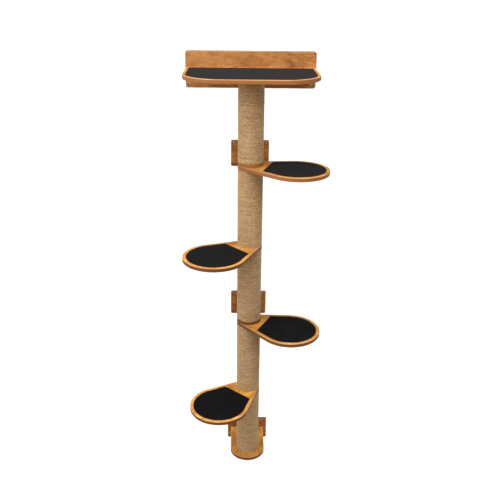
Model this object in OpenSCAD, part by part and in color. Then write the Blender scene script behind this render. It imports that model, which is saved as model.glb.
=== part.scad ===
// Wall-mounted cat tree: a rope-wrapped column with turning steps and a top shelf.
// The origin is on the wall, at the centre of the base bracket's four screw holes.
// +X is to the right, +Y points into the wall and +Z is up. All lengths are in mm.

/* [Column] */
// Outer diameter of a post, over its rope
post_d = 120; // [110:1:130]
// Length of one post
post_len = 380; // [300:5:450]
// Distance from the wall to the column's axis
post_to_wall = 190; // [185:1:220]
// Diameter of the sisal rope
rope_d = 6; // [5:0.5:8]
// Wall thickness of the core tube
tube_wall = 6; // [4:0.5:8]
// Thickness of the wooden disc in each end of a tube
disc_t = 30; // [24:1:40]

/* [Boards] */
// Thickness of every wooden board
board_t = 18; // [16:1:21]
// Depth of the recess that holds a mat
recess_depth = 3; // [2:0.5:4]
// Thickness of a mat
mat_t = 4; // [3:0.5:6]

/* [Steps] */
// Radius of a step's round end
step_r = 150; // [120:5:165]
// Distance from the column's axis to the centre of the round end
step_reach = 224; // [200:2:240]
// Width of the wooden rim around a step's mat
step_rim = 17; // [12:1:25]
// Distance from the column's axis to the straight end of the mat
mat_start = 85; // [75:1:110]
// Direction of the lowest step, in degrees from +X
step_1_turn = -131; // [-188:1:8]
// Direction of the second step
step_2_turn = -26; // [-188:1:8]
// Direction of the third step
step_3_turn = -138; // [-188:1:8]
// Direction of the highest step
step_4_turn = -19; // [-188:1:8]

/* [Top shelf] */
// Width of the top shelf
shelf_w = 605; // [500:5:700]
// Depth of the top shelf
shelf_depth = 390; // [370:5:430]
// Radius of the shelf's two front corners
shelf_corner_r = 170; // [20:5:180]
// Width of the wooden rim at the sides and front of the top mat
shelf_rim = 14; // [12:1:25]
// Width of the wooden strip behind the top mat
shelf_back_rim = 10; // [8:1:20]

/* [Wall plates] */
// Width of the board behind the top shelf
wall_board_w = 610; // [560:10:720]
// Height of the board behind the top shelf
wall_board_h = 168; // [140:2:200]
// Corner radius of the board behind the top shelf
wall_board_corner_r = 12; // [4:1:20]
// Distance from that board's edges to its screw holes
wall_board_hole_inset = 16; // [14:1:30]
// Width of the upper and middle bracket plates
plate_w = 186; // [150:2:220]
// Width of the base bracket plate
base_plate_w = 223; // [200:1:260]
// Height of a bracket plate
plate_h = 128; // [100:2:160]
// Corner radius of a bracket plate
plate_corner_r = 9; // [4:1:14]
// Distance from a plate's edges to its screw holes
plate_hole_inset = 14; // [12:1:24]
// Width of the base board under the column
base_w = 184; // [150:2:210]
// Distance that the base board's round end is set forward of the column's axis
base_forward = 6; // [0:1:12]

/* [Fasteners] */
// Diameter of the studs and bolts through the column
stud_d = 10; // [8:1:12]
// Diameter of a wood screw
screw_d = 5; // [4:0.5:6]
// Length of a wood screw
screw_len = 60; // [45:5:70]

/* [Hidden] */
$fn = 96;
cut = 1;                              // overlap that makes each subtraction clean
glue_gap = 0.2;                       // radial gap between glued or pressed pieces
running_gap = 0.06;                   // radial gap between a stud and what turns on it
turn_gap = 0.05;                      // gap above and below a step, which turns between its neighbours
mat_gap = 0.5;                        // gap all round a mat in its recess
side_bite = 0.05;                     // a step's straight sides cut this far into its round ends

POSTS = 5;
STEPS = 4;
post_r = post_d / 2;
tube_r = post_r - rope_d;
disc_r = tube_r - tube_wall - glue_gap;
stud_r = stud_d / 2;
insert_r = 8;                         // outside of a threaded insert
insert_len = 20;
stud_len = 2 * board_t + 2 * insert_len;
bolt_hole_r = stud_r + 0.5;
bolt_len = board_t + 27;
hex_across = 17;
hex_head_h = 6.4;
washer_r = 15;
washer_t = 2.5;
countersunk_head_r = 10;
wall_hole_r = 2.75;                   // for a 5 mm wall screw
wall_countersink_r = 5.5;
screw_r = screw_d / 2;
screw_tip = 6;
pilot_gap = 0.1;
screw_sink = 0.3;                     // a screw head sits this far below the wall face

step_turns = [step_1_turn, step_2_turn, step_3_turn, step_4_turn];
step_t = board_t - 2 * turn_gap;
plate_front = post_to_wall - board_t; // from the column's axis to the plates' front faces

// Height of the lower end of post i. A bracket arm lies on every second step.
function post_z(i) = board_t / 2 + (i - 1) * (post_len + board_t) + floor((i - 1) / 2) * board_t;
// Height of the underside of step i, which lies on post i
function step_z(i) = post_z(i) + post_len;
// Height of the underside of the bracket arm that lies on step i
function arm_z(i) = step_z(i) + board_t;
top_shelf_z = step_z(POSTS);
top_shelf_mid = top_shelf_z + board_t / 2;
middle_mid = arm_z(2) + board_t / 2;
upper_mid = arm_z(4) + board_t / 2;

bracket_screws = [-35, 35];           // X of the screws through an upper or middle plate
base_screws = [-60, 0, 60];
shelf_screws = [-225, -75, 75, 225];

// ---- Outlines ----

// Circle of radius small_r at the origin and one of radius big_r at [reach, 0], with straight
// sides that touch both
module teardrop_outline(small_r, big_r, reach) {
    lean = acos((small_r - big_r) / reach);
    upper = [cos(lean), sin(lean)];
    lower = [upper.x, -upper.y];
    head = [reach, 0];
    circle(r = small_r);
    translate(head) circle(r = big_r);
    polygon([
        (small_r - side_bite) * lower,
        head + (big_r - side_bite) * lower,
        head + (big_r - side_bite) * upper,
        (small_r - side_bite) * upper
    ]);
}

// Rectangle centred on the origin, with round corners
module rounded_rectangle(w, h, r) {
    square([w - 2 * r, h], center = true);
    square([w, h - 2 * r], center = true);
    for (x = [-1, 1], y = [-1, 1])
        translate([x * (w / 2 - r), y * (h / 2 - r)]) circle(r = r);
}

// Strip from the origin back to y = back, with a round front end of radius r
module round_ended_strip(r, back) {
    circle(r = r);
    translate([-r, 0]) square([2 * r, back]);
}

// Rectangle of width w that runs from y = 0 to y = -depth, with round front corners
module round_front_outline(w, depth, r) {
    translate([-w / 2, r - depth]) square([w, depth - r]);
    translate([r - w / 2, -depth]) square([w - 2 * r, depth]);
    for (side = [-1, 1])
        translate([side * (w / 2 - r), r - depth]) circle(r = r);
}

// ---- Fasteners and their holes ----

// Countersunk wood screw along +Z, with its flat head at z = 0
module wood_screw(gap = 0, head_up = 0) {
    r = screw_r + gap;
    head_r = 2 * screw_r + gap;
    rotate_extrude()
        polygon([
            [0, -head_up],
            [head_r, -head_up],
            [head_r, 0],
            [r, screw_r],
            [r, screw_len - screw_tip],
            [0, screw_len]
        ]);
}

// Screws from the wall side, along -Y, at height z and at each X in the list
module screws_from_wall(xs, z, gap = 0, head_up = 0) {
    for (x = xs)
        translate([x, -screw_sink, z]) rotate([90, 0, 0]) wood_screw(gap, head_up);
}

module screw_bores(xs, z) {
    screws_from_wall(xs, z, pilot_gap, cut);
}

// Countersunk hole for a wall screw, along Y, through a board that lies on the wall
module wall_hole() {
    translate([0, cut, 0]) rotate([90, 0, 0]) cylinder(r = wall_hole_r, h = board_t + 2 * cut);
    translate([0, -board_t + wall_hole_r, 0])
        rotate([90, 0, 0])
            cylinder(r1 = wall_hole_r, r2 = wall_countersink_r + cut, h = wall_hole_r + cut);
}

// ---- Plates, arms and shelves ----

// Plate on the wall, centred on height z, with a countersunk hole near each corner
module wall_plate(w, h, corner_r, inset, z, screw_xs) {
    difference() {
        translate([0, 0, z])
            rotate([90, 0, 0])
                linear_extrude(board_t) rounded_rectangle(w, h, corner_r);
        for (x = [-1, 1], up = [-1, 1])
            translate([x * (w / 2 - inset), 0, z + up * (h / 2 - inset)]) wall_hole();
        screw_bores(screw_xs, z);
    }
}

// Level arm from a plate to the column, with its underside at height z
module bracket_arm(r, forward, z, hole_r, screw_xs) {
    difference() {
        translate([0, -post_to_wall - forward, z])
            linear_extrude(board_t) round_ended_strip(r, plate_front + forward);
        translate([0, -post_to_wall, z - cut]) cylinder(r = hole_r, h = board_t + 2 * cut);
        screw_bores(screw_xs, z + board_t / 2);
    }
}

module wall_board() {
    color("#c28149")
        wall_plate(wall_board_w, wall_board_h, wall_board_corner_r, wall_board_hole_inset,
                   top_shelf_mid, shelf_screws);
}

module top_shelf() {
    color("#a86a3a")
        difference() {
            translate([0, -board_t, top_shelf_z])
                linear_extrude(board_t)
                    round_front_outline(shelf_w, shelf_depth, shelf_corner_r);
            translate([0, -board_t, top_shelf_z + board_t - recess_depth])
                linear_extrude(recess_depth + cut) top_mat_outline(0);
            translate([0, -post_to_wall, top_shelf_z - cut])
                cylinder(r = bolt_hole_r, h = board_t);
            translate([0, -post_to_wall, top_shelf_z + board_t - recess_depth])
                countersunk_head(glue_gap, cut);
            screw_bores(shelf_screws, top_shelf_mid);
        }
}

// Outline of the top mat, or of its recess when gap is 0
module top_mat_outline(gap) {
    side = shelf_rim + gap;
    intersection() {
        round_front_outline(shelf_w - 2 * side, shelf_depth - side, shelf_corner_r - side);
        translate([-shelf_w, -shelf_depth])
            square([2 * shelf_w, shelf_depth - shelf_back_rim - gap]);
    }
}

module top_mat() {
    color("#2b292b")
        translate([0, -board_t, top_shelf_z + board_t - recess_depth])
            linear_extrude(mat_t) top_mat_outline(mat_gap);
}

module upper_plate() {
    color("#80502a")
        wall_plate(plate_w, plate_h, plate_corner_r, plate_hole_inset, upper_mid, bracket_screws);
}

module upper_arm() {
    color("#96602f") bracket_arm(post_r, 0, arm_z(4), bolt_hole_r, bracket_screws);
}

module middle_plate() {
    color("#80502a")
        wall_plate(plate_w, plate_h, plate_corner_r, plate_hole_inset, middle_mid, bracket_screws);
}

module middle_arm() {
    color("#96602f") bracket_arm(post_r, 0, arm_z(2), bolt_hole_r, bracket_screws);
}

module base_plate() {
    color("#80502a")
        wall_plate(base_plate_w, plate_h, plate_corner_r, plate_hole_inset, 0, base_screws);
}

module base_board() {
    color("#c2874d")
        bracket_arm(base_w / 2, base_forward, -board_t / 2, bolt_hole_r, base_screws);
}

// ---- Column ----

// A ring around the column's axis, from height z up
module column_ring(outer_r, inner_r, z, h) {
    translate([0, -post_to_wall, z])
        difference() {
            cylinder(r = outer_r, h = h);
            translate([0, 0, -cut]) cylinder(r = inner_r, h = h + 2 * cut);
        }
}

module rope(i) {
    color("#c4a478") column_ring(post_r, tube_r + glue_gap, post_z(i), post_len);
}

module core_tube(i) {
    color("#9a8262") column_ring(tube_r, tube_r - tube_wall, post_z(i), post_len);
}

// Disc in the lower end of a post, with a seat for its insert
module end_disc() {
    difference() {
        cylinder(r = disc_r, h = disc_t);
        translate([0, 0, -cut]) cylinder(r = insert_r + glue_gap, h = insert_len + cut);
        translate([0, 0, -cut]) cylinder(r = bolt_hole_r, h = disc_t + 2 * cut);
    }
}

module at_post_ends(i) {
    translate([0, -post_to_wall, post_z(i)]) children();
    translate([0, -post_to_wall, post_z(i) + post_len]) mirror([0, 0, 1]) children();
}

module end_discs(i) {
    color("#b08d5b") at_post_ends(i) end_disc();
}

module threaded_inserts() {
    color("#c9b27a")
        for (i = [1 : POSTS])
            at_post_ends(i)
                difference() {
                    cylinder(r = insert_r, h = insert_len);
                    translate([0, 0, -cut])
                        cylinder(r = stud_r + running_gap, h = insert_len + 2 * cut);
                }
}

// A stud is centred on the boards that it passes through
module joining_studs() {
    color("silver")
        for (i = [1 : STEPS])
            translate([0, -post_to_wall, (step_z(i) + post_z(i + 1) - stud_len) / 2])
                cylinder(r = stud_r, h = stud_len);
}

module base_bolt() {
    color("silver")
        translate([0, -post_to_wall, -board_t / 2 - washer_t]) {
            cylinder(r = stud_r, h = bolt_len);
            translate([0, 0, -hex_head_h])
                cylinder(r = hex_across / 2 / cos(30), h = hex_head_h, $fn = 6);
        }
}

module base_washer() {
    color("silver")
        column_ring(washer_r, bolt_hole_r, -board_t / 2 - washer_t, washer_t);
}

// Countersunk head that points down from z = 0, grown by gap and carried up by head_up
module countersunk_head(gap = 0, head_up = 0) {
    height = countersunk_head_r - stud_r;
    rotate_extrude()
        polygon([
            [0, head_up],
            [countersunk_head_r + gap, head_up],
            [countersunk_head_r + gap, 0],
            [stud_r + gap, -height],
            [0, -height]
        ]);
}

module top_bolt() {
    color("silver")
        translate([0, -post_to_wall, top_shelf_z + board_t - recess_depth]) {
            countersunk_head();
            translate([0, 0, -bolt_len]) cylinder(r = stud_r, h = bolt_len - glue_gap);
        }
}

module bracket_screws() {
    color("silver") {
        screws_from_wall(bracket_screws, upper_mid);
        screws_from_wall(bracket_screws, middle_mid);
        screws_from_wall(base_screws, 0);
    }
}

module shelf_screws() {
    color("silver") screws_from_wall(shelf_screws, top_shelf_mid);
}

// ---- Steps ----

// Moves a step's own frame, with +X along the step and its underside at z = 0, to step i
module at_step(i) {
    translate([0, -post_to_wall, step_z(i) + turn_gap])
        rotate([0, 0, step_turns[i - 1]]) children();
}

// Outline of a step's mat, or of its recess when gap is 0
module step_mat_outline(gap) {
    inset = step_rim + gap;
    intersection() {
        teardrop_outline(post_r - inset, step_r - inset, step_reach);
        translate([mat_start + gap, -step_r]) square([step_reach + step_r, 2 * step_r]);
    }
}

module step_board(i) {
    color("#b3743f")
        at_step(i)
            difference() {
                linear_extrude(step_t) teardrop_outline(post_r, step_r, step_reach);
                translate([0, 0, step_t - recess_depth])
                    linear_extrude(recess_depth + cut) step_mat_outline(0);
                translate([0, 0, -cut])
                    cylinder(r = stud_r + running_gap, h = step_t + 2 * cut);
            }
}

module step_mat(i) {
    color("#262426")
        at_step(i)
            translate([0, 0, step_t - recess_depth])
                linear_extrude(mat_t) step_mat_outline(mat_gap);
}

wall_board();
top_shelf();
top_mat();
upper_plate();
upper_arm();
middle_plate();
middle_arm();
base_plate();
base_board();
for (i = [1 : POSTS])
    rope(i);
for (i = [1 : POSTS])
    core_tube(i);
for (i = [1 : POSTS])
    end_discs(i);
threaded_inserts();
joining_studs();
base_bolt();
base_washer();
top_bolt();
bracket_screws();
shelf_screws();
for (i = [1 : STEPS])
    step_board(i);
for (i = [1 : STEPS])
    step_mat(i);
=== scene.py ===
"""Looks for the wall-mounted cat tree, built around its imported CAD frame.

Metres, in the frame's own axes: +X right, +Y into the wall, +Z up. The wooden boards, the mats, the rope
windings and the fasteners that can be seen are rebuilt here with their real detail. The core tubes, end
discs, threaded inserts, studs and the hidden top bolt stay as CAD nodes with better materials.
"""

import math

import bmesh
import bpy
import numpy as np
from mathutils import Matrix, Vector
from mathutils.geometry import delaunay_2d_cdt, tessellate_polygon


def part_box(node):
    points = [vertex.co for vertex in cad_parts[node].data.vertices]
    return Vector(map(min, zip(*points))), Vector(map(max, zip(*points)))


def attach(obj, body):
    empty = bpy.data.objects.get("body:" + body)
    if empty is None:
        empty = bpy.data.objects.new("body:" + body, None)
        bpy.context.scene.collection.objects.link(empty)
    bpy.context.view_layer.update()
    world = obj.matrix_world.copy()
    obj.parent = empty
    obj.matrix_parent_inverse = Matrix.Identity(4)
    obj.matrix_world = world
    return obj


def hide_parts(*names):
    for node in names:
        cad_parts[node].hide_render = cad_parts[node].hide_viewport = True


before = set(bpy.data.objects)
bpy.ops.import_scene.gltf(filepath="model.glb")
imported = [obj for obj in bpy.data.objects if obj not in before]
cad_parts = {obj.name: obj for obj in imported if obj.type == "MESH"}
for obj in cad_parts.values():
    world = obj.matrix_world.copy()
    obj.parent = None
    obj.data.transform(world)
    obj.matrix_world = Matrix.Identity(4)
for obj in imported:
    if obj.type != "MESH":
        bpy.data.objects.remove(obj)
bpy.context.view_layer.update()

MM = 0.001


def size(node):
    low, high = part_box(node)
    return high - low


def middle(node):
    low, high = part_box(node)
    return (low + high) / 2


# ---- Sizes read from the frame ----

AXIS = middle("rope_1")                     # a point on the column's axis
POST_R = size("rope_1").x / 2
BOARD_T = size("top_shelf").z
STEP_T = size("step_board_1").z
MAT_T = size("top_mat").z
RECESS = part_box("top_shelf")[1].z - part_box("top_mat")[0].z
SHELF_W = size("top_shelf").x
SHELF_DEPTH = size("top_shelf").y
PLATE_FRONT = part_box("wall_board")[0].y     # Y of every plate's front face

# ---- Sizes that the frame's boxes don't give, as in the part's source ----

STEP_R = 150 * MM            # round end of a step
STEP_REACH = 224 * MM        # from the column's axis to the centre of that round end
STEP_RIM = 17 * MM
MAT_START = 85 * MM          # from the column's axis to the straight end of a step's mat
MAT_GAP = 0.5 * MM
SHELF_CORNER_R = 170 * MM
SHELF_RIM = 14 * MM
SHELF_BACK_RIM = 10 * MM
WALL_BOARD_CORNER_R = 12 * MM
WALL_BOARD_HOLE_INSET = 16 * MM
PLATE_CORNER_R = 9 * MM
PLATE_HOLE_INSET = 14 * MM
BASE_FORWARD = 6 * MM        # the base board's round end is this far in front of the column's axis
WALL_HOLE_R = 2.75 * MM
COUNTERSINK_R = 5.5 * MM
SCREW_R = 2.5 * MM
SCREW_HEAD_R = 2 * SCREW_R
SCREW_LEN = 60 * MM
SCREW_SINK = 0.3 * MM        # a screw's head lies this far below the wall face
ROPE_R = 3 * MM
STUD_R = 5 * MM
WASHER_HOLE_R = 5.5 * MM
HEX_ACROSS = 17 * MM
HEX_HEAD_H = 6.4 * MM
BRACKET_SCREWS_X = (-35 * MM, 35 * MM)
BASE_SCREWS_X = (-60 * MM, 0, 60 * MM)
SHELF_SCREWS_X = (-225 * MM, -75 * MM, 75 * MM, 225 * MM)

POSTS = range(1, 6)
STEPS = range(1, 5)

# ---- Detail that only the visual model has ----

EDGE_R = 2.2 * MM            # round-over on the boards' edges
BACK_EDGE_R = 1 * MM         # broken edge on the wall side of a plate
POCKET_EDGE_R = 0.6 * MM     # broken edge round a mat's recess
FLAT_RING = 0.5 * MM         # flat ring that keeps a round-over's shading off the flat face
MAT_CORNER_R = 3 * MM
MAT_EDGE_R = 1 * MM
PLY_COUNT = 13
PLY_T = BOARD_T / PLY_COUNT
BORE_PLAY = 0.1 * MM         # between a screw and its bore
ROPE_LAY = 22 * MM           # length in which a strand goes once round its rope
STRANDS = 3


# ---- Outlines: lists of (x, y) that run counterclockwise ----

def arc(centre, radius, start, end, steps):
    """Points on a circle from one angle to another, in degrees."""
    angles = [math.radians(start + (end - start) * i / steps) for i in range(steps + 1)]
    return [(centre[0] + radius * math.cos(a), centre[1] + radius * math.sin(a)) for a in angles]


def circle(centre, radius, steps=32):
    return arc(centre, radius, 0, 360, steps)[:-1]


def rounded_corner(before, corner, after, radius, steps=5):
    """Arc that rounds a left-hand corner between two straight sides."""
    corner = Vector(corner)
    back = (Vector(before) - corner).normalized()
    on = (Vector(after) - corner).normalized()
    half = back.angle(on) / 2
    centre = corner + (back + on).normalized() * (radius / math.sin(half))
    first = corner + back * (radius / math.tan(half)) - centre
    start = math.degrees(math.atan2(first.y, first.x))
    return arc(centre, radius, start, start + 180 - math.degrees(2 * half), steps)


def step_lean():
    """Direction from a round end's centre to where the step's straight side meets it, in degrees."""
    return math.degrees(math.acos((POST_R - STEP_R) / STEP_REACH))


def step_outline(inset):
    """Teardrop about the column's axis, which is the origin, with its head along +X."""
    lean = step_lean()
    head = arc((STEP_REACH, 0), STEP_R - inset, -lean, lean, 110)
    tail = arc((0, 0), POST_R - inset, lean, 360 - lean, 40)
    return head + tail


def step_mat_outline(inset):
    """Edge of a step's recess, moved inwards by inset."""
    lean = step_lean()
    side = math.radians(lean)
    margin = STEP_RIM + inset
    start = MAT_START + inset
    half = (POST_R - margin - start * math.cos(side)) / math.sin(side)
    head = arc((STEP_REACH, 0), STEP_R - margin, -lean, lean, 110)
    upper = rounded_corner(head[-1], (start, half), (start, -half), MAT_CORNER_R)
    lower = rounded_corner((start, half), (start, -half), head[0], MAT_CORNER_R)
    return head + upper + lower


def round_front(width, depth, corner_r):
    """The two front corners of a shelf whose back lies along y = 0, from left to right."""
    x, y = width / 2 - corner_r, corner_r - depth
    return arc((-x, y), corner_r, 180, 270, 48) + arc((x, y), corner_r, 270, 360, 48)


def shelf_outline(inset):
    half = SHELF_W / 2 - inset
    front = round_front(2 * half, SHELF_DEPTH - inset, SHELF_CORNER_R - inset)
    return front + [(half, 0), (-half, 0)]


def shelf_mat_outline(inset):
    """Edge of the shelf's recess, moved inwards by inset."""
    margin = SHELF_RIM + inset
    half, back = SHELF_W / 2 - margin, -SHELF_BACK_RIM - inset
    front = round_front(2 * half, SHELF_DEPTH - margin, SHELF_CORNER_R - margin)
    right = rounded_corner(front[-1], (half, back), (-half, back), MAT_CORNER_R)
    left = rounded_corner((half, back), (-half, back), front[0], MAT_CORNER_R)
    return front + right + left


def plate_outline(width, height, corner_r):
    def outline(inset):
        x, y, r = width / 2 - corner_r, height / 2 - corner_r, corner_r - inset
        points = []
        for turn, centre in enumerate(((x, y), (-x, y), (-x, -y), (x, -y))):
            points += arc(centre, r, 90 * turn, 90 * turn + 90, 10)
        return points
    return outline


def arm_outline(radius, back):
    """Strip with a round end about the origin, towards +X, and a square end at x = -back."""
    def outline(inset):
        r = radius - inset
        return arc((0, 0), r, -90, 90, 60) + [(-back, r), (-back, -r)]
    return outline


# ---- Solids made of loops ----

SMOOTH_ANGLE = 32            # degrees. An edge that turns more is shaded sharp
MAT_SMOOTH_ANGLE = 60


class Solid:
    """Points and faces of a closed piece, built from flat counterclockwise loops."""

    def __init__(self):
        self.points = []
        self.faces = []

    def loop(self, outline, z):
        first = len(self.points)
        self.points += [(x, y, z) for x, y in outline]
        return list(range(first, len(self.points)))

    def bridge(self, lower, upper):
        """Wall between two loops of equal length. It faces outwards when upper is above lower."""
        for i in range(len(lower)):
            j = (i + 1) % len(lower)
            self.faces.append((lower[i], lower[j], upper[j], upper[i]))

    def stack(self, outlines_and_heights):
        """Walls through a list of (outline, z). Returns the first loop and the last."""
        loops = [self.loop(outline, z) for outline, z in outlines_and_heights]
        for lower, upper in zip(loops, loops[1:]):
            self.bridge(lower, upper)
        return loops[0], loops[-1]

    def cap(self, outer, holes=(), up=True):
        """Flat face inside the outer loop and outside the holes."""
        loops = [outer, *holes]
        ids = [i for loop in loops for i in loop]
        for triangle in tessellate_polygon([[Vector(self.points[i]) for i in loop] for loop in loops]):
            a, b, c = (ids[k] for k in triangle)
            (ax, ay, _), (bx, by, _), (cx, cy, _) = (self.points[i] for i in (a, b, c))
            turns_left = (bx - ax) * (cy - ay) - (by - ay) * (cx - ax) > 0
            self.faces.append((a, b, c) if turns_left == up else (c, b, a))

    def mesh(self, name, smooth_angle=SMOOTH_ANGLE):
        return finished_mesh(name, self.points, self.faces, smooth_angle)


def finished_mesh(name, points, faces, smooth_angle):
    mesh = bpy.data.meshes.new(name)
    mesh.from_pydata(points, [], faces)
    mesh.validate()
    mesh.polygons.foreach_set("use_smooth", [True] * len(mesh.polygons))
    mesh.set_sharp_from_angle(angle=math.radians(smooth_angle))
    return mesh


def round_over(radius, height, rising, steps=6):
    """(inset, z) pairs of a quarter round, upwards: from the bottom face to the wall when rising, and
    otherwise from the wall to the top face, which is at height."""
    angles = [math.pi / 2 * i / steps for i in range(steps + 1)]
    pairs = [(radius * (1 - math.sin(a)), radius * (1 - math.cos(a))) for a in angles]
    if rising:
        return pairs
    return [(inset, height - z) for inset, z in reversed(pairs)]


def board_mesh(name, outline, thickness, low_edge_r, pocket=None, through=(), blind=()):
    """A board from z = 0 up, with rounded edges. outline(inset) gives its edge moved inwards, and
    pocket(inset) the edge of a recess in its top. through and blind are holes: (centre, [(z, radius)]).
    The list runs up from z = 0, and a blind hole ends at its last ring."""
    solid = Solid()
    profile = [(low_edge_r + FLAT_RING, 0)] + round_over(low_edge_r, thickness, True)
    profile += round_over(EDGE_R, thickness, False) + [(EDGE_R + FLAT_RING, thickness)]
    bottom, top = solid.stack([(outline(inset), z) for inset, z in profile])
    bottom_holes, top_holes = [], []
    for centre, rings in through:
        high, low = solid.stack([(circle(centre, r), z) for z, r in reversed(rings)])
        top_holes.append(high)
        bottom_holes.append(low)
    for centre, rings in blind:
        end, low = solid.stack([(circle(centre, r), z) for z, r in reversed(rings)])
        solid.cap(end, up=False)
        bottom_holes.append(low)
    if pocket:
        edge = [(-POCKET_EDGE_R, thickness), (0, thickness - POCKET_EDGE_R), (0, thickness - RECESS)]
        rim, floor = solid.stack([(pocket(inset), z) for inset, z in edge])
        solid.cap(floor)
        top_holes.append(rim)
    solid.cap(bottom, bottom_holes, up=False)
    solid.cap(top, top_holes)
    return solid.mesh(name)


def lathe(name, profile, steps=48):
    """Closed ring or solid turned about Z from a list of (radius, z), outside first and upwards."""
    points, faces, rings = [], [], []
    for radius, z in profile:
        if radius > 0:
            rings.append(list(range(len(points), len(points) + steps)))
            points += [(x, y, z) for x, y in circle((0, 0), radius, steps)]
        else:
            rings.append([len(points)])
            points.append((0, 0, z))
    closed = profile[0] == profile[-1]
    if closed:
        rings[-1] = rings[0]
    for lower, upper in zip(rings, rings[1:]):
        for i in range(steps):
            j = (i + 1) % steps
            corners = ((lower, i), (lower, j), (upper, j), (upper, i))
            face = list(dict.fromkeys(ring[k % len(ring)] for ring, k in corners))
            if len(face) > 2:
                faces.append(face)
    if closed:
        points = points[:-steps]
    return finished_mesh(name, points, faces, SMOOTH_ANGLE)


# ---- Placing pieces ----

def placed(origin, x_axis, y_axis):
    """Matrix whose X and Y axes point along the two directions given."""
    x, y = Vector(x_axis), Vector(y_axis)
    matrix = Matrix((x, y, x.cross(y))).transposed().to_4x4()
    matrix.translation = Vector(origin)
    return matrix


def add_piece(name, mesh, matrix, body, replaced, material):
    piece = bpy.data.objects.new(name, mesh)
    bpy.context.scene.collection.objects.link(piece)
    piece.matrix_world = matrix
    piece.data.materials.append(material)
    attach(piece, body)
    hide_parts(*replaced)
    return piece


# ---- Material nodes ----

class Shader:
    """One material's node tree, with a short call for each kind of node that is used here."""

    def __init__(self, name, base, roughness, metallic=0.0, turn=0.0):
        self.turn = turn
        self.material = bpy.data.materials.new(name)
        self.material.use_nodes = True
        self.tree = self.material.node_tree
        self.surface = self.tree.nodes["Principled BSDF"]
        self.surface.inputs["Base Color"].default_value = (*base, 1)
        self.surface.inputs["Roughness"].default_value = roughness
        self.surface.inputs["Metallic"].default_value = metallic

    def node(self, kind, inputs=None, **settings):
        node = self.tree.nodes.new(kind)
        for key, value in settings.items():
            setattr(node, key, value)
        for key, value in (inputs or {}).items():
            if isinstance(value, bpy.types.NodeSocket):
                self.tree.links.new(value, node.inputs[key])
            else:
                node.inputs[key].default_value = value
        return node

    def place(self, scale, shift=(0, 0, 0)):
        """The piece's own coordinates, in metres, turned about Z, moved and then scaled."""
        own = self.node("ShaderNodeTexCoord").outputs["Object"]
        if self.turn:
            inputs = {"Vector": own, "Angle": -self.turn}
            own = self.node("ShaderNodeVectorRotate", inputs, rotation_type="Z_AXIS").outputs[0]
        moved = self.node("ShaderNodeVectorMath", {0: own, 1: shift}, operation="ADD")
        return self.stretch(moved.outputs[0], scale)

    def stretch(self, vector, scale):
        return self.node("ShaderNodeVectorMath", {0: vector, 1: scale}, operation="MULTIPLY").outputs[0]

    def noise(self, vector, detail=3.0, roughness=0.5, distortion=0.0):
        inputs = {"Vector": vector, "Scale": 1.0, "Detail": detail, "Roughness": roughness,
                  "Distortion": distortion}
        return self.node("ShaderNodeTexNoise", inputs).outputs["Fac"]

    def math(self, operation, a, b=0.0):
        return self.node("ShaderNodeMath", {0: a, 1: b}, operation=operation).outputs[0]

    def weigh(self, *terms):
        """Sum of values, given as (value, weight)."""
        total, *parts = (self.math("MULTIPLY", value, weight) for value, weight in terms)
        for part in parts:
            total = self.math("ADD", total, part)
        return total

    def smooth(self, value, low, high, to_low=0.0, to_high=1.0):
        """Value brought smoothly from one range to another. Sockets 1 to 4 are the ranges' ends."""
        inputs = {"Value": value, 1: low, 2: high, 3: to_low, 4: to_high}
        return self.node("ShaderNodeMapRange", inputs, interpolation_type="SMOOTHSTEP").outputs[0]

    def ramp(self, value, stops):
        node = self.node("ShaderNodeValToRGB", {"Fac": value})
        elements = node.color_ramp.elements
        while len(elements) < len(stops):
            elements.new(0.5)
        for element, (place, color) in zip(elements, stops):
            element.position = place
            element.color = (*color, 1)
        return node.outputs["Color"]

    def mix(self, factor, a, b):
        """Mix of two colours. The Mix node's colour sockets are inputs 6 and 7 and output 2."""
        a, b = ((*c, 1) if isinstance(c, tuple) else c for c in (a, b))
        return self.node("ShaderNodeMix", {0: factor, 6: a, 7: b}, data_type="RGBA").outputs[2]

    def bump(self, height, distance, strength):
        inputs = {"Height": height, "Distance": distance, "Strength": strength}
        self.feed("Normal", self.node("ShaderNodeBump", inputs).outputs["Normal"])

    def feed(self, socket, value):
        self.tree.links.new(value, self.surface.inputs[socket])

    def fix(self, **values):
        for key, value in values.items():
            self.surface.inputs[key.replace("_", " ")].default_value = value


# Each stain: darkest, middle and lightest tone of the faces.
AMBER_STAIN = ((0.27, 0.092, 0.019), (0.42, 0.166, 0.041), (0.56, 0.262, 0.077))
GOLDEN_STAIN = ((0.38, 0.142, 0.022), (0.60, 0.262, 0.047), (0.78, 0.41, 0.1))
HONEY_STAIN = ((0.35, 0.128, 0.02), (0.55, 0.235, 0.042), (0.72, 0.375, 0.092))
# Painted shade: the plates' stain is darkened for the shade they stand in, behind the column and under
# the boards.
PLATE_SHADE_STAIN = ((0.13, 0.040, 0.006), (0.32, 0.112, 0.019), (0.52, 0.215, 0.045))
WOOD_SPECK = (0.19, 0.066, 0.02)
# Paler tone for the rounded edges: partly the stain worn thin by sanding, partly a painted highlight.
WOOD_SANDED_HIGHLIGHT = (0.98, 0.74, 0.48)
# Lit and shaded copies of the ply colour: the darker plies are painted shade, for the plates and the
# lower boards.
LIGHT_PLIES = ((0.19, 0.07, 0.022), (0.42, 0.175, 0.058))
SHADED_PLIES = ((0.1, 0.036, 0.011), (0.25, 0.098, 0.03))


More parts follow.
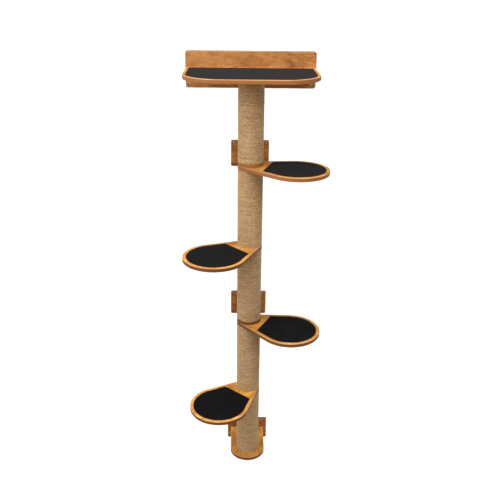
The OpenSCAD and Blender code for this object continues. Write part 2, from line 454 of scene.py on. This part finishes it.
def wood_face(s, shift, stain, cloud, fibres, pores):
    """Flat face: clouds, curl, faint growth rings and fibres, with darker pores and specks."""
    dark, mid, light = stain
    curl = s.noise(s.place((38, 70, 70), shift), 3, 0.6, 0.8)
    bands = s.noise(s.place((1.3, 8, 8), shift), 2, 0.45, 0.3)
    rings = s.math("SINE", s.math("MULTIPLY", bands, 95))
    specks = s.noise(s.place((190, 330, 330), shift), 2, 0.6)
    tone = s.weigh((cloud, 0.5), (curl, 0.24), (rings, 0.018), (fibres, 0.26))
    face = s.ramp(tone, [(0.4, dark), (0.5, mid), (0.61, light)])
    face = s.mix(s.smooth(pores, 0.6, 0.72, 0, 0.35), face, dark)
    return s.mix(s.smooth(specks, 0.69, 0.76, 0, 0.6), face, WOOD_SPECK)


def ply_edge(s, shift, plies):
    """Cut edge: plies that wander a little, each with its end grain."""
    height = s.node("ShaderNodeSeparateXYZ", {0: s.place((1, 1, 1))}).outputs[2]
    wander = s.math("MULTIPLY", s.noise(s.place((14, 14, 14), shift), 2), 0.35)
    count = s.math("ADD", s.math("DIVIDE", height, PLY_T), wander)
    layer = s.math("SINE", s.math("MULTIPLY", count, math.pi))
    end_grain = s.math("SUBTRACT", s.noise(s.place((420, 420, 90), shift), 3, 0.6), 0.5)
    layer = s.math("ADD", layer, s.math("MULTIPLY", end_grain, 1.3))
    return s.ramp(s.smooth(layer, -0.5, 0.5), [(0, plies[0]), (1, plies[1])])


def wood(name, seed, stain, plies, turn=0.0):
    """Stained birch plywood. Its grain runs along the piece's own X, turned about Z, and its plies lie
    across its own Z. The rounded edges are paler: partly the stain worn thin by sanding, partly a
    painted highlight."""
    s = Shader(name, stain[1], 0.5, turn=turn)
    shift = (seed * 1.7, seed * 0.9, seed * 0.31)
    cloud = s.noise(s.place((9, 17, 17), shift), 5, 0.62, 0.6)
    fibres = s.noise(s.place((34, 680, 680), shift), 4, 0.62)
    pores = s.noise(s.place((110, 1500, 1500), shift), 2, 0.5)
    face = wood_face(s, shift, stain, cloud, fibres, pores)

    normal = s.node("ShaderNodeTexCoord").outputs["Normal"]
    level = s.math("ABSOLUTE", s.node("ShaderNodeSeparateXYZ", {0: normal}).outputs[2])
    # Band on the round-overs that is painted paler: partly sanding, partly a painted highlight.
    edge_sanding_and_highlight = s.math("MULTIPLY", s.smooth(level, 0.8, 0.93), s.smooth(level, 0.9995, 0.97))
    color = s.mix(s.smooth(level, 0.88, 0.72), face, ply_edge(s, shift, plies))
    s.feed("Base Color", s.mix(s.math("MULTIPLY", edge_sanding_and_highlight, 0.85), color, WOOD_SANDED_HIGHLIGHT))
    s.feed("Roughness", s.smooth(s.math("ADD", fibres, cloud), 0.6, 1.4, 0.42, 0.58))
    s.feed("Specular IOR Level", s.smooth(level, 0.72, 0.88, 0.08, 0.34))
    s.bump(s.weigh((fibres, 0.7), (pores, -0.5)), 0.25 * MM, 0.35)
    return s.material


FELT_DARK = (0.001, 0.0009, 0.0012)
FELT_MID = (0.0028, 0.0024, 0.0032)
FELT_LIGHT = (0.0078, 0.007, 0.009)


def carpet(name, seed):
    """Short black needle-felt."""
    s = Shader(name, (0.006, 0.0055, 0.006), 0.95)
    shift = (seed * 0.7, seed * 1.3, 0)
    tufts = s.noise(s.place((780, 780, 780), shift), 3, 0.65)
    fibres = s.noise(s.place((2100, 2100, 2100), shift), 2, 0.6, 1.2)
    traffic = s.noise(s.place((11, 11, 11), shift), 4, 0.6)
    pile = s.weigh((tufts, 0.6), (fibres, 0.4))
    color = s.ramp(pile, [(0.32, FELT_DARK), (0.52, FELT_MID), (0.7, FELT_LIGHT)])
    worn = s.smooth(traffic, 0.35, 0.7, 0, 0.3)
    s.feed("Base Color", s.mix(worn, color, FELT_LIGHT))
    s.fix(Sheen_Weight=0.055, Sheen_Roughness=0.42, Specular_IOR_Level=0.06)
    s.bump(pile, 0.9 * MM, 0.8)
    return s.material


SISAL_DARK = (0.26, 0.15, 0.064)
SISAL_MID = (0.5, 0.315, 0.155)
SISAL_LIGHT = (0.74, 0.53, 0.3)
# Painted shade: the colour that the grooves between turns are darkened towards.
SISAL_GROOVE_SHADE = (0.16, 0.093, 0.04)
SISAL_SHEEN = (1.0, 0.9, 0.72, 1)


def sisal(name, seed):
    """Natural sisal rope. The winding's mesh carries its place along the rope and across it."""
    s = Shader(name, (0.5, 0.34, 0.17), 0.88)
    along = s.node("ShaderNodeAttribute", attribute_name="along").outputs["Fac"]
    across = s.node("ShaderNodeAttribute", attribute_name="across").outputs["Fac"]
    crown = s.node("ShaderNodeAttribute", attribute_name="crown").outputs["Fac"]
    rope = s.node("ShaderNodeCombineXYZ", {0: along, 1: across, 2: seed * 3.1}).outputs[0]
    fibres = s.noise(s.stretch(rope, (130, 2600, 1)), 4, 0.65, 0.4)
    strands = s.noise(s.stretch(rope, (34, 420, 1)), 3, 0.6)
    bundles = s.noise(s.stretch(rope, (3.2, 30, 1)), 3, 0.6)
    turns = s.smooth(s.noise(s.stretch(rope, (18, 120, 1)), 2, 0.5), 0.36, 0.64)
    flecks = s.smooth(s.noise(s.place((170, 170, 190), (0, seed, 0)), 2, 0.6), 0.36, 0.64)
    patches = s.noise(s.place((16, 16, 9), (seed * 0.83, 0, 0)), 3, 0.55)
    tone = s.weigh((fibres, 0.34), (strands, 0.22), (bundles, 0.08), (patches, 0.1), (turns, 0.1),
                   (flecks, 0.16))
    color = s.ramp(tone, [(0.36, SISAL_DARK), (0.53, SISAL_MID), (0.7, SISAL_LIGHT)])
    # Painted shade in the grooves between turns, where the rope's crown is low.
    s.feed("Base Color", s.mix(s.smooth(crown, 0.75, 0.1, 0, 0.6), color, SISAL_GROOVE_SHADE))
    s.fix(Sheen_Weight=0.25, Sheen_Roughness=0.5, Sheen_Tint=SISAL_SHEEN, Specular_IOR_Level=0.25)
    s.bump(fibres, 0.5 * MM, 0.7)
    return s.material


def zinc(name):
    s = Shader(name, (0.6, 0.6, 0.58), 0.34, 1.0)
    spangle = s.noise(s.place((900, 900, 900)), 3, 0.6)
    s.feed("Base Color", s.ramp(spangle, [(0.3, (0.45, 0.45, 0.44)), (0.7, (0.7, 0.7, 0.67))]))
    s.feed("Roughness", s.smooth(spangle, 0.3, 0.7, 0.28, 0.42))
    s.bump(spangle, 0.05 * MM, 0.3)
    return s.material


def brass(name):
    s = Shader(name, (0.62, 0.46, 0.2), 0.36, 1.0)
    turned = s.noise(s.place((200, 200, 3000)), 2, 0.5)
    s.feed("Base Color", s.ramp(turned, [(0.35, (0.5, 0.36, 0.15)), (0.65, (0.7, 0.53, 0.25))]))
    s.bump(turned, 0.04 * MM, 0.4)
    return s.material


def card(name):
    """Spiral-wound tube: pale brown paper with fine fibres."""
    s = Shader(name, (0.34, 0.24, 0.14), 0.85)
    fibres = s.noise(s.place((260, 260, 260)), 5, 0.7)
    s.feed("Base Color", s.ramp(fibres, [(0.35, (0.26, 0.175, 0.1)), (0.65, (0.42, 0.31, 0.19))]))
    s.bump(fibres, 0.15 * MM, 0.4)
    return s.material


def bare_ply(name):
    s = Shader(name, (0.55, 0.39, 0.21), 0.7)
    grain = s.noise(s.place((12, 160, 160)), 4, 0.6, 0.3)
    s.feed("Base Color", s.ramp(grain, [(0.35, (0.42, 0.28, 0.14)), (0.65, (0.64, 0.48, 0.28))]))
    s.bump(grain, 0.15 * MM, 0.3)
    return s.material


# ---- Boards ----

def wall_hole(centre):
    """Countersunk hole for a wall screw, open at the plate's front face."""
    sink = BOARD_T - (COUNTERSINK_R - WALL_HOLE_R)
    return centre, [(0, WALL_HOLE_R), (sink, WALL_HOLE_R), (BOARD_T - 0.3 * MM, COUNTERSINK_R),
                    (BOARD_T, COUNTERSINK_R + 0.4 * MM)]


def screw_bore(x):
    """Bore for an assembly screw, countersunk on the wall side."""
    head_r, shank_r = SCREW_HEAD_R + BORE_PLAY, SCREW_R + BORE_PLAY
    return (x, 0), [(0, head_r), (SCREW_SINK, head_r), (SCREW_SINK + SCREW_R, shank_r),
                    (BOARD_T - 1 * MM, shank_r)]


def add_plate(node, corner_r, hole_inset, screws_x, seed, stain):
    """Plate on the wall. Its own X runs to the right, its own Y up and its own Z to the front."""
    width, _, height = size(node)
    x, y = width / 2 - hole_inset, height / 2 - hole_inset
    holes = [wall_hole((a * x, b * y)) for a in (-1, 1) for b in (-1, 1)]
    bores = [screw_bore(x) for x in screws_x]
    outline = plate_outline(width, height, corner_r)
    mesh = board_mesh(node, outline, BOARD_T, BACK_EDGE_R, through=holes, blind=bores)
    place = placed((0, 0, middle(node).z), (1, 0, 0), (0, 0, 1))
    # Every plate takes the darker plies, which are painted shade.
    material = wood(node + "_wood", seed, stain, SHADED_PLIES)
    add_piece(node + "_wood", mesh, place, "column", [node], material)


def add_arm(node, forward, seed, plies):
    """Level arm. Its own X runs to the front, so that its grain runs away from the wall."""
    radius = size(node).x / 2
    origin = (AXIS.x, AXIS.y - forward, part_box(node)[0].z)
    outline = arm_outline(radius, PLATE_FRONT - origin[1])
    mesh = board_mesh(node, outline, BOARD_T, EDGE_R)
    place = placed(origin, (0, -1, 0), (1, 0, 0))
    material = wood(node + "_wood", seed, GOLDEN_STAIN, plies)
    add_piece(node + "_wood", mesh, place, "column", [node], material)


def add_top_shelf(seed):
    mesh = board_mesh("top_shelf", shelf_outline, BOARD_T, EDGE_R, pocket=shelf_mat_outline)
    place = Matrix.Translation((0, PLATE_FRONT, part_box("top_shelf")[0].z))
    material = wood("top_shelf_wood", seed, GOLDEN_STAIN, LIGHT_PLIES)
    add_piece("top_shelf_wood", mesh, place, "column", ["top_shelf"], material)
    return place, 0.0


def step_place(i):
    """Where a step stands, on the column's axis, and the angle of its length from +X."""
    low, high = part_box(f"step_board_{i}")
    to_right = high.x - AXIS.x > AXIS.x - low.x
    head_x = high.x - STEP_R if to_right else low.x + STEP_R
    turn = math.atan2(low.y + STEP_R - AXIS.y, head_x - AXIS.x)
    return Matrix.Translation((AXIS.x, AXIS.y, low.z)), turn


def turned(mesh, angle):
    """Turns a mesh about its own Z. Its object stays square to the frame, and so its box is tight."""
    mesh.transform(Matrix.Rotation(angle, 4, "Z"))
    return mesh


def add_step(i, seed, stain, plies):
    node = f"step_board_{i}"
    place, turn = step_place(i)
    mesh = turned(board_mesh(node, step_outline, STEP_T, EDGE_R, pocket=step_mat_outline), turn)
    material = wood(node + "_wood", seed, stain, plies, turn)
    add_piece(node + "_wood", mesh, place, f"step_{i}", [node], material)
    return place, turn


# ---- Mats ----

PILE_WAVES = ((0.09, 0.28), (0.035, 0.2), (0.012, 0.16), (0.006, 0.14))     # wavelength in m, height
PILE_DIRECTIONS = 5          # waves of each length, each in a direction of its own
PILE_HEIGHT = 0.8 * MM / 3
MAT_GRID = 3.5 * MM


def felt_height(points, seed):
    """Small uneven height of the pile at each point, as a sum of seeded waves."""
    rng = np.random.default_rng(seed)
    total = np.zeros(len(points))
    for wave, height in PILE_WAVES:
        for _ in range(PILE_DIRECTIONS):
            angle, phase = rng.uniform(0, 2 * math.pi, 2)
            direction = np.array([math.cos(angle), math.sin(angle)]) * 2 * math.pi / wave
            total += height * PILE_HEIGHT * np.sin(points @ direction + phase)
    return total


def inside_points(outline, spacing):
    """Staggered grid of points that lie inside an outline, clear of its edge."""
    edge = np.array(outline)
    low, high = edge.min(0), edge.max(0)
    across = np.arange(low[0], high[0], spacing)
    rows = np.arange(low[1], high[1], spacing * math.sqrt(3) / 2)
    grid = np.array([(x + spacing / 2 * (n % 2), y) for n, y in enumerate(rows) for x in across])
    inside = np.zeros(len(grid), bool)
    nearest = np.full(len(grid), np.inf)
    for (ax, ay), (bx, by) in zip(edge, np.roll(edge, -1, 0)):
        crosses = (ay > grid[:, 1]) != (by > grid[:, 1])
        if ay != by:
            inside ^= crosses & (grid[:, 0] < (bx - ax) * (grid[:, 1] - ay) / (by - ay) + ax)
        side = np.array([bx - ax, by - ay])
        share = np.clip(((grid - (ax, ay)) @ side) / max(side @ side, 1e-12), 0, 1)
        nearest = np.minimum(nearest, np.linalg.norm(grid - (ax, ay) - share[:, None] * side, axis=1))
    return grid[inside & (nearest > spacing * 0.6)]


def mat_mesh(name, outline, seed):
    """Felt mat from z = 0 up: a soft rounded edge and an uneven top."""
    solid = Solid()
    edge = [(0, 0)] + round_over(MAT_EDGE_R, MAT_T, False, 4)
    bottom, top = solid.stack([(outline(MAT_GAP + inset), z) for inset, z in edge])
    solid.cap(bottom, up=False)
    rim = outline(MAT_GAP + MAT_EDGE_R)
    inner = inside_points(rim, MAT_GRID)
    flat = [Vector(p) for p in rim] + [Vector(p) for p in inner]
    sides = [(i, (i + 1) % len(rim)) for i in range(len(rim))]
    triangles_inside = 1
    points, _, faces, *_ = delaunay_2d_cdt(flat, sides, [], triangles_inside, 1e-6)
    heights = MAT_T + felt_height(np.array([tuple(p) for p in points]), seed)
    first = len(solid.points)
    solid.points += [(p.x, p.y, MAT_T if k < len(rim) else heights[k]) for k, p in enumerate(points)]
    solid.faces += [tuple(top[i] if i < len(rim) else first + i for i in face) for face in faces]
    return drop_loose(solid.mesh(name, MAT_SMOOTH_ANGLE))


def drop_loose(mesh):
    """Removes points that no face uses."""
    work = bmesh.new()
    work.from_mesh(mesh)
    bmesh.ops.delete(work, geom=[v for v in work.verts if not v.link_faces], context="VERTS")
    work.to_mesh(mesh)
    work.free()
    return mesh


def outline_size(outline):
    points = np.array(outline)
    return [float(x) for x in points.max(0) - points.min(0)]


def outline_area(outline):
    x, y = np.array(outline).T
    return float(abs(x @ np.roll(y, -1) - y @ np.roll(x, -1)) / 2)


def add_mat(node, outline, board, body, seed):
    """board is the place and the turn of the board that the mat lies in."""
    place, turn = board
    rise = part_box(node)[0].z - place.translation.z
    mesh = turned(mat_mesh(node, outline, seed), turn)
    place = Matrix.Translation((0, 0, rise)) @ place
    felt = carpet(node + "_felt", seed)
    piece = add_piece(node + "_felt", mesh, place, body, [node], felt)
    cut = outline(MAT_GAP)
    outline_size(cut)
    outline_area(cut)


# ---- Rope windings ----

COLUMNS = 288                # points round one turn
ROWS = 5                     # points across one turn
GROOVE = 0.94                # how far down its round side a rope can be seen
STRAND_DIP = 0.42 * MM       # depth between two strands
THICKER = 0.16 * MM          # half of the rope's slow change in thickness
BULGE = 0.3 * MM             # how far a turn stands out or in, to either side
LEAN = 0.22 * MM             # how far a turn strays along the post, to either side
SLEEVE_T = 1.95 * ROPE_R     # from the rope's crown to the inner wall, just clear of the core tube
POST_SPIN = 1.9              # radians from one post's winding to the next one's


def winding_mesh(name, height, seed):
    """Rope wound tightly round a post. It is one closed sleeve whose outside follows every strand."""
    rng = np.random.default_rng(seed)
    turns = round(height / (2 * ROPE_R))
    last = (turns + 1) * ROWS
    j, k = np.meshgrid(np.arange(COLUMNS), np.arange(last + 1), indexing="ij")
    turn, row = k // ROWS, k % ROWS
    angle = 2 * math.pi * j / COLUMNS
    level = height / turns * (k / ROWS - 1 + j / COLUMNS)
    along = (turn - 1 + j / COLUMNS) * 2 * math.pi * (POST_R - ROPE_R)
    across = GROOVE * (2 * row / ROWS - 1)
    dome = np.sqrt(1 - across ** 2)
    strand = STRANDS / 2 * (np.arcsin(across) - 2 * math.pi * along / ROPE_LAY)
    lump = 1 - np.abs(np.cos(strand))
    thick, lean, bulge = (smooth_random(rng, turns + 2, COLUMNS, knots)[turn, j] for knots in (24, 9, 4))
    radius = POST_R - ROPE_R + ROPE_R * dome - STRAND_DIP * lump * dome + THICKER * (thick - 1)
    radius = radius + BULGE * bulge
    level = np.clip(level + LEAN * lean * (row > 0), 0, height)
    points = np.stack([radius * np.cos(angle), radius * np.sin(angle), level], -1).reshape(-1, 3)
    values = {"along": along, "across": across * ROPE_R + turn * 2 * ROPE_R, "crown": dome - 0.35 * lump}
    return closed_winding(name, points, winding_faces(level, height, last), values, height)


def smooth_random(rng, turns, columns, knots):
    """Seeded values from -1 to 1 that run smoothly along the rope, one row for each turn."""
    values = rng.uniform(-1, 1, turns * knots + 1)
    places = np.arange(turns * columns) * knots / columns
    return np.interp(places, np.arange(len(values)), values).reshape(turns, columns)


def winding_faces(level, height, last):
    """Quads between neighbouring points. Past the last column a row goes on one turn higher."""
    count = last + 1
    faces = []
    for j in range(COLUMNS):
        beyond = (j + 1) % COLUMNS
        lift = ROWS if beyond == 0 else 0
        for k in range(last - lift):
            heights = (*level[j, k:k + 2], *level[beyond, k + lift:k + lift + 2])
            if max(heights) > 0 and min(heights) < height:
                a, b = j * count + k, beyond * count + k + lift
                faces.append((a, b, b + 1, a + 1))
    return faces


def closed_winding(name, points, faces, values, height):
    """Gives the winding's outside its flat ends and its inner wall, next to the core tube."""
    mesh = bpy.data.meshes.new(name)
    mesh.from_pydata(points.tolist(), [], faces)
    for key, value in values.items():
        attribute = mesh.attributes.new(key, "FLOAT", "POINT")
        attribute.data.foreach_set("value", value.reshape(-1).astype(np.float32))
    work = bmesh.new()
    work.from_mesh(drop_loose(mesh))
    grown = bmesh.ops.extrude_edge_only(work, edges=[e for e in work.edges if e.is_boundary])["geom"]
    wall = [g for g in grown if isinstance(g, bmesh.types.BMVert)]
    for v in wall:
        scale = (POST_R - SLEEVE_T) / math.hypot(v.co.x, v.co.y)
        v.co = (v.co.x * scale, v.co.y * scale, 0 if v.co.z < height / 2 else height)
    bmesh.ops.remove_doubles(work, verts=wall, dist=0.001 * MM)
    bmesh.ops.bridge_loops(work, edges=[e for e in work.edges if e.is_boundary])
    bmesh.ops.recalc_face_normals(work, faces=work.faces)
    for face in work.faces:
        face.smooth = True
    work.to_mesh(mesh)
    work.free()
    return mesh


def add_winding(i):
    node = f"rope_{i}"
    low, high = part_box(node)
    mesh = winding_mesh(node, high.z - low.z, i)
    place = Matrix.Translation((AXIS.x, AXIS.y, low.z)) @ Matrix.Rotation(i * POST_SPIN, 4, "Z")
    add_piece(node + "_winding", mesh, place, "column", [node], sisal(node + "_sisal", i))


# ---- Fasteners ----

LOOP = 48                    # points in each loop of a fastener
SHANK_END = 18 * MM          # from the head's face to the first thread
SCREW_TIP = 6 * MM           # length of the point
THREAD_PITCH = 2.8 * MM
SCREW_SPIN = 0.8             # radians from one screw's recess to the next one's


def polar(radius):
    """Loop whose radius at each angle is radius(angle)."""
    angles = [2 * math.pi * n / LOOP for n in range(LOOP)]
    return [(radius(a) * math.cos(a), radius(a) * math.sin(a)) for a in angles]


def star(radius):
    """Six-lobed driver recess."""
    return polar(lambda a: radius * (0.86 + 0.14 * math.cos(6 * a)))


def hexagon(across, limit):
    """Hexagon with its corners cut off by a circle of radius limit."""
    sixth = math.pi / 3
    return polar(lambda a: min(across / 2 / math.cos((a + sixth / 2) % sixth - sixth / 2), limit))


def screw_rings():
    """(radius, z) of a screw from its head's face at z = 0 to its point at z = SCREW_LEN."""
    core_r = SCREW_R * 0.66
    rings = [(SCREW_HEAD_R - 0.15 * MM, 0), (SCREW_HEAD_R, 0.2 * MM), (SCREW_R * 1.1, SCREW_R)]
    rings.append((SCREW_R * 0.82, SHANK_END))
    z = SHANK_END
    while z < SCREW_LEN - SCREW_TIP:
        rings += [(core_r, z + 0.4 * MM), (SCREW_R, z + 1.4 * MM), (core_r, z + 2.4 * MM)]
        z += THREAD_PITCH
    return rings + [(SCREW_R * 0.6, SCREW_LEN - SCREW_TIP + 2 * MM), (0.15 * MM, SCREW_LEN)]


def screw_mesh(name):
    """Countersunk wood screw with a six-lobed recess. Its thread is drawn as ridges round it."""
    solid = Solid()
    face, end = solid.stack([(circle((0, 0), r, LOOP), z) for r, z in screw_rings()])
    solid.cap(end)
    floor, mouth = solid.stack([(star(2.1 * MM), 1.9 * MM), (star(2.35 * MM), 0)])
    solid.cap(floor, up=False)
    solid.cap(face, [mouth], up=False)
    return solid.mesh(name)


def joined_screws(name, places):
    """One mesh that holds a screw at each place, along -Y."""
    single = screw_mesh(name + "_one")
    work = bmesh.new()
    turn = Matrix.Rotation(math.radians(90), 4, "X")
    for n, (x, z) in enumerate(places):
        before = len(work.verts)
        work.from_mesh(single)
        work.verts.ensure_lookup_table()
        spin = Matrix.Rotation(n * SCREW_SPIN, 4, "Z")
        matrix = Matrix.Translation((x, -SCREW_SINK, z)) @ turn @ spin
        bmesh.ops.transform(work, matrix=matrix, verts=work.verts[before:])
    mesh = bpy.data.meshes.new(name)
    work.to_mesh(mesh)
    work.free()
    return mesh


def add_screws(material):
    heights = (middle("upper_plate").z, middle("middle_plate").z)
    brackets = [(x, z) for z in heights for x in BRACKET_SCREWS_X]
    brackets += [(x, middle("base_plate").z) for x in BASE_SCREWS_X]
    shelf = [(x, middle("wall_board").z) for x in SHELF_SCREWS_X]
    for node, places in (("bracket_screws", brackets), ("shelf_screws", shelf)):
        mesh = joined_screws(node, places)
        add_piece(node + "_steel", mesh, Matrix.Identity(4), "column", [node], material)


def add_base_bolt(material):
    """Hexagon bolt, head down. The head's underside is chamfered."""
    low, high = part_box("base_bolt")
    corner, head_top = HEX_ACROSS / math.sqrt(3), low.z + HEX_HEAD_H
    chamfer = ((0.48 * HEX_ACROSS, low.z), (0.99 * corner, low.z + 0.9 * MM), (corner, low.z + 1.4 * MM))
    rings = [(hexagon(HEX_ACROSS, limit), z) for limit, z in (*chamfer, (corner, head_top))]
    shank = ((STUD_R, head_top), (STUD_R, high.z - 1 * MM), (STUD_R - 1 * MM, high.z))
    rings += [(circle((0, 0), r, LOOP), z) for r, z in shank]
    solid = Solid()
    first, last = solid.stack(rings)
    solid.cap(first, up=False)
    solid.cap(last)
    mesh = solid.mesh("base_bolt")
    place = Matrix.Translation((AXIS.x, AXIS.y, 0))
    add_piece("base_bolt_steel", mesh, place, "column", ["base_bolt"], material)


def add_base_washer(material):
    low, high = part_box("base_washer")
    outer, bevel = size("base_washer").x / 2, 0.4 * MM
    profile = [(WASHER_HOLE_R, low.z), (outer - bevel, low.z), (outer, low.z + bevel),
               (outer, high.z - bevel), (outer - bevel, high.z), (WASHER_HOLE_R, high.z),
               (WASHER_HOLE_R, low.z)]
    mesh = lathe("base_washer", profile)
    place = Matrix.Translation((AXIS.x, AXIS.y, 0))
    add_piece("base_washer_steel", mesh, place, "column", ["base_washer"], material)


# ---- CAD nodes that stay ----

def finish_inner_nodes(steel):
    kept = {"threaded_inserts": brass("insert_brass"), "joining_studs": steel, "top_bolt": steel}
    tube, disc = card("core_card"), bare_ply("disc_ply")
    for i in POSTS:
        kept[f"core_tube_{i}"] = tube
        kept[f"end_discs_{i}"] = disc
    for node, material in kept.items():
        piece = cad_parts[node]
        piece.data.materials.clear()
        piece.data.materials.append(material)


# ---- Studio ----

FLOOR_DROP = 0.9             # the tree hangs on a wall, this far above the floor
FLOOR_R = 300                # wide enough to fill the picture to its top edge
CAMERA_PLACE = (-0.0565, -3.208, 2.4365)
CAMERA_PITCH = 22.44         # degrees below level
CAMERA_YAW = 1.12            # degrees from straight at the wall, towards +X
CAMERA_ROLL = 0.69
CAMERA_LENS = 48.04          # on a 36 mm wide sensor


def add_camera():
    camera = bpy.data.objects.new("camera", bpy.data.cameras.new("camera"))
    bpy.context.scene.collection.objects.link(camera)
    pitch, yaw, roll = (math.radians(a) for a in (CAMERA_PITCH, CAMERA_YAW, CAMERA_ROLL))
    ahead = Vector((math.sin(yaw) * math.cos(pitch), math.cos(yaw) * math.cos(pitch), -math.sin(pitch)))
    level = Vector((math.cos(yaw), -math.sin(yaw), 0))
    above = level.cross(ahead)
    right = math.cos(roll) * level + math.sin(roll) * above
    camera.matrix_world = placed(CAMERA_PLACE, right, right.cross(ahead))
    camera.data.lens = CAMERA_LENS
    camera.data.sensor_width = 36
    camera.data.clip_end = 2 * FLOOR_R
    bpy.context.scene.camera = camera


LIGHT_COLOR = (1.0, 0.99, 0.97)
SUNS = (                     # name, direction of the light, strength, angular size in degrees
    ("overhead", (0.2, 0.15, -1), 2.25, 34),
    ("from_left", (0.9, 0.45, -0.3), 1.12, 40),
    ("from_right", (-0.55, 0.55, -0.6), 0.7, 35),
    ("from_front", (0.05, 0.7, -0.7), 0.26, 35),
)
SOFTBOXES = (                # name, place, point that it faces, watts
    ("softbox_left", (-1.5, -1.7, 2.95), (0, -0.2, 1.7), 18),
    ("softbox_front", (0, -1.7, 2.9), (0, -0.2, 1.4), 17),
)
SOFTBOX_W = 1.6
SKY_STRENGTH = 0.26


def add_lamp(name, kind, energy, place, direction):
    """Lamp that shines along a direction."""
    light = bpy.data.lights.new(name, kind)
    light.energy = energy
    light.color = LIGHT_COLOR
    lamp = bpy.data.objects.new(name, light)
    bpy.context.scene.collection.objects.link(lamp)
    lamp.location = place
    lamp.rotation_euler = Vector(direction).to_track_quat("-Z", "Y").to_euler()
    return light


def add_lights():
    for name, direction, strength, angle in SUNS:
        add_lamp(name, "SUN", strength, (0, 0, 0), direction).angle = math.radians(angle)
    for name, place, aim, watts in SOFTBOXES:
        add_lamp(name, "AREA", watts, place, Vector(aim) - Vector(place)).size = SOFTBOX_W
    world = bpy.data.worlds.new("studio")
    world.use_nodes = True
    sky = world.node_tree.nodes["Background"].inputs
    sky["Color"].default_value = (1, 1, 1, 1)
    sky["Strength"].default_value = SKY_STRENGTH
    bpy.context.scene.world = world


FLOOR_FRONT = (0.26, 0.26, 0.26)
FLOOR_BEHIND = (0.93, 0.93, 0.93)


def floor_paint():
    """Matt paint: white behind the tree, and grey in front of it, where white would throw light up."""
    s = Shader("floor_paint", (0.6, 0.6, 0.6), 0.9)
    away = s.node("ShaderNodeSeparateXYZ", {0: s.place((1, 1, 1))}).outputs[1]
    patches = s.math("MULTIPLY", s.noise(s.place((3, 3, 3)), 3), 0.1)
    back = s.smooth(s.math("ADD", away, patches), -1.5, -0.15)
    s.feed("Base Color", s.ramp(back, [(0, FLOOR_FRONT), (1, FLOOR_BEHIND)]))
    s.fix(Specular_IOR_Level=0.1)
    return s.material


def add_floor():
    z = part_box("base_plate")[0].z - FLOOR_DROP
    floor = bpy.data.objects.new("floor", lathe("floor", [(FLOOR_R, z), (0, z)], 64))
    bpy.context.scene.collection.objects.link(floor)
    floor.data.materials.append(floor_paint())


# ---- The cat tree ----

add_camera()
add_plate("wall_board", WALL_BOARD_CORNER_R, WALL_BOARD_HOLE_INSET, SHELF_SCREWS_X, 1, AMBER_STAIN)
# The plates take the darker stain, which is painted shade.
add_plate("upper_plate", PLATE_CORNER_R, PLATE_HOLE_INSET, BRACKET_SCREWS_X, 2, PLATE_SHADE_STAIN)
add_plate("middle_plate", PLATE_CORNER_R, PLATE_HOLE_INSET, BRACKET_SCREWS_X, 3, PLATE_SHADE_STAIN)
add_plate("base_plate", PLATE_CORNER_R, PLATE_HOLE_INSET, BASE_SCREWS_X, 4, PLATE_SHADE_STAIN)
add_arm("upper_arm", 0, 5, LIGHT_PLIES)
# The middle arm and the base board take the darker plies, which are painted shade.
add_arm("middle_arm", 0, 6, SHADED_PLIES)
add_arm("base_board", BASE_FORWARD, 7, SHADED_PLIES)
add_mat("top_mat", shelf_mat_outline, add_top_shelf(8), "column", 1)
for i in STEPS:
    stain = GOLDEN_STAIN if i == min(STEPS) else HONEY_STAIN
    # The steps below the top one take the darker plies, which are painted shade.
    board = add_step(i, 8 + i, stain, LIGHT_PLIES if i == max(STEPS) else SHADED_PLIES)
    add_mat(f"step_mat_{i}", step_mat_outline, board, f"step_{i}", 1 + i)
for i in POSTS:
    add_winding(i)
steel = zinc("zinc_steel")
add_screws(steel)
add_base_bolt(steel)
add_base_washer(steel)
finish_inner_nodes(steel)
add_floor()
add_lights()
bpy.context.scene.view_settings.view_transform = "Standard"
